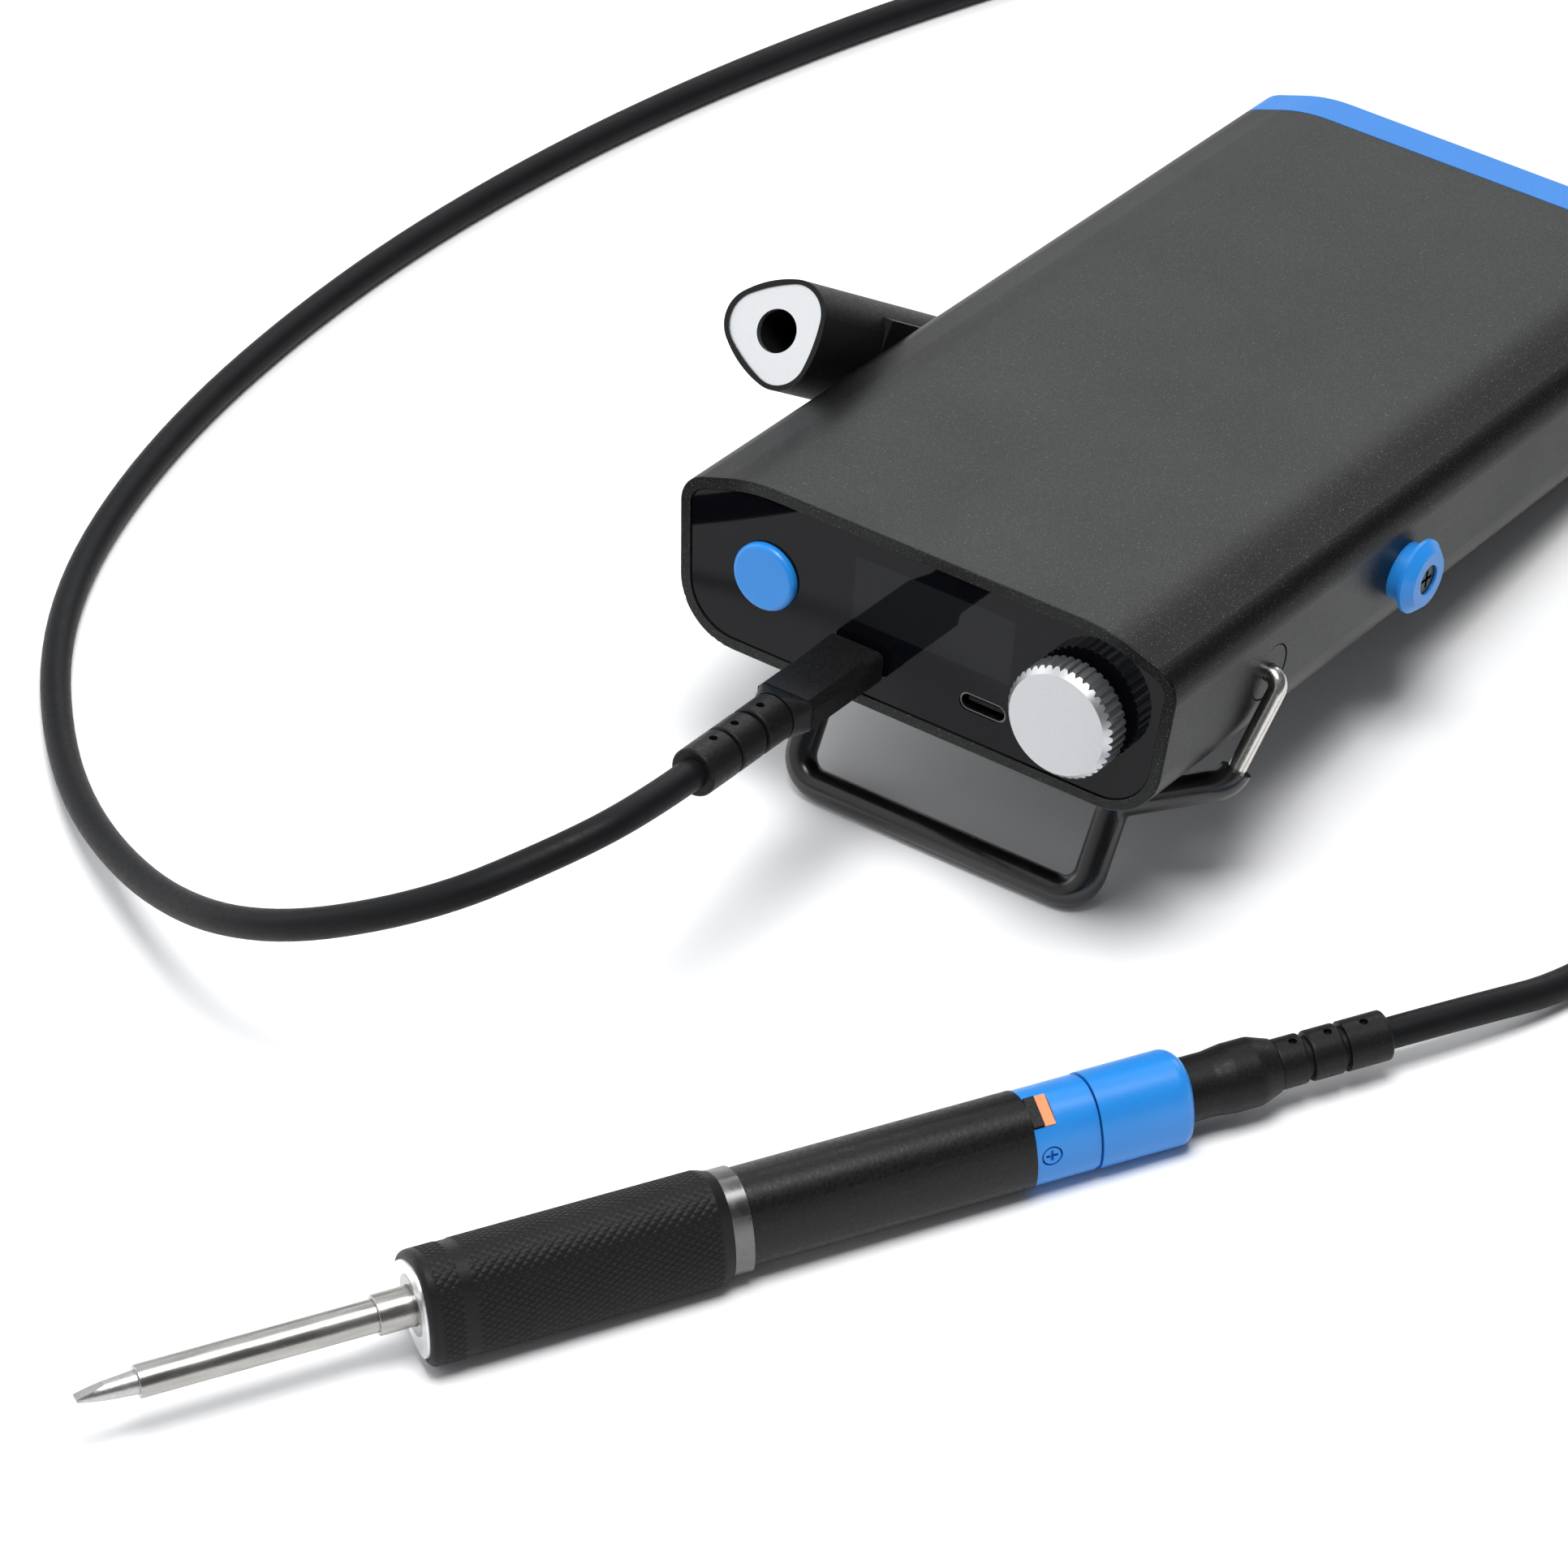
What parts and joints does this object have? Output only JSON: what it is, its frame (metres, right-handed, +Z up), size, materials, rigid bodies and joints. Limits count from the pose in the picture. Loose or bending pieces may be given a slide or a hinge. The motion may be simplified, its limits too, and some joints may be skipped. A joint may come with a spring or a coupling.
{
  "type": "soldering iron station",
  "caption": "Battery soldering station with display panel, knob, power button, folding bail and side tip cap, and a USB-C corded iron with a pull-out tip.",
  "frame": {"origin": "middle of the station, bail, tip cap and iron on the floor, without the cord", "axes": "+X to the right seen from the front panel, +Y to the rear, +Z up"},
  "size_m": [0.2882, 0.4653, 0.0649],
  "materials": {
    "casing": "bead-blasted dark grey anodise",
    "panel": "polished black",
    "blue": "satin azure",
    "blue_screw": "satin azure",
    "steel": "plain",
    "inner_plastic": "plain moulded",
    "board": "solder mask",
    "display": "dark",
    "cells": "wrapped",
    "nickel": "satin nickel",
    "button": "soft satin black",
    "knob": "turned, straight knurl",
    "black_plastic": "satin",
    "sleeve_black": "satin",
    "post": "satin",
    "cap_black": "matte",
    "plate": "satin",
    "tip": "polished, heat-worn end",
    "shank": "brushed",
    "grip": "fine diamond knurl",
    "ring_grey": "satin grey",
    "barrel_black": "fine leather grain",
    "orange": "satin",
    "cord_black": "matte silicone"
  },
  "bodies": {
    "station": {"casing_sleeve": "casing", "front_panel": "panel", "rear_cap": "blue", "rear_cap_screws": "steel", "chassis_tray": "inner_plastic", "main_board": "board", "board_screws": "steel", "front_board": "board", "display_module": "display", "usb_shells": "steel", "usb_tongues": "inner_plastic", "power_switch": "inner_plastic", "encoder_body": "steel", "encoder_nut": "steel", "battery_cells": "cells", "cell_frames": "inner_plastic", "cell_tabs": "nickel", "pivot_bushings": "black_plastic", "side_post_left": "post", "side_post_right": "post", "post_screws": "steel", "post_nuts": "steel", "nose_plate": "plate", "nose_bush": "plate", "grip": "grip", "grip_ring": "ring_grey", "barrel": "barrel_black", "tip_socket": "inner_plastic", "iron_board": "board", "collar": "blue", "latch_tab": "black_plastic", "indicator": "orange", "collar_screw": "blue_screw", "tail_core": "blue", "iron_usb_socket": "steel", "station_plug": "cord_black", "station_plug_shell": "steel", "station_plug_relief": "cord_black", "iron_plug": "cord_black", "iron_plug_relief": "cord_black", "cord_front": "cord_black", "cord_rear": "cord_black", "cord_coil": "cord_black"},
    "power_button": {"power_button": "button", "switch_plunger": "inner_plastic"},
    "knob_pusher": {"encoder_pusher": "inner_plastic"},
    "knob": {"encoder_shaft": "steel", "knob": "knob"},
    "bail": {"bail_wire": "nickel", "bail_sleeve": "sleeve_black"},
    "tip_cap": {"tip_cap": "cap_black", "tip_cap_plate": "plate"},
    "tip": {"tip_bit": "tip", "tip_tube": "tip", "tip_shank": "shank", "tip_jack": "shank"},
    "twist_ring": {"twist_ring": "blue"}
  },
  "joints": [
    {"name": "power_button_press", "type": "slide", "parent": "station", "child": "power_button", "axis": [0, 0.9848, -0.1736], "range_m": [0, 0.0006], "stiffness_N_per_m": 700},
    {"name": "knob_press", "type": "slide", "parent": "station", "child": "knob_pusher", "axis": [0, 0.9848, -0.1736], "range_m": [0, 0.0005], "stiffness_N_per_m": 1500},
    {"name": "knob_turn", "type": "hinge", "parent": "knob_pusher", "child": "knob", "pos_m": [0.02629, 0, 0.04697], "axis": [0, -0.9848, 0.1736], "continuous": true},
    {"name": "bail_fold", "type": "hinge", "parent": "station", "child": "bail", "pos_m": [-0.00391, 0.03034, 0.04051], "axis": [1, 0, 0], "range_deg": [0, 55]},
    {"name": "cap_tilt", "type": "hinge", "parent": "station", "child": "tip_cap", "pos_m": [-0.05391, 0.07124, 0.0335], "axis": [1, 0, 0], "range_deg": [-15, 20]},
    {"name": "tip_pull", "type": "slide", "parent": "station", "child": "tip", "axis": [-0.5542, -0.8322, 0.0184], "range_m": [0, 0.045]},
    {"name": "ring_twist", "type": "hinge", "parent": "station", "child": "twist_ring", "pos_m": [0.06044, -0.03603, 0.0078], "axis": [-0.5542, -0.8322, 0.0184], "range_deg": [0, 30]}
  ]
}
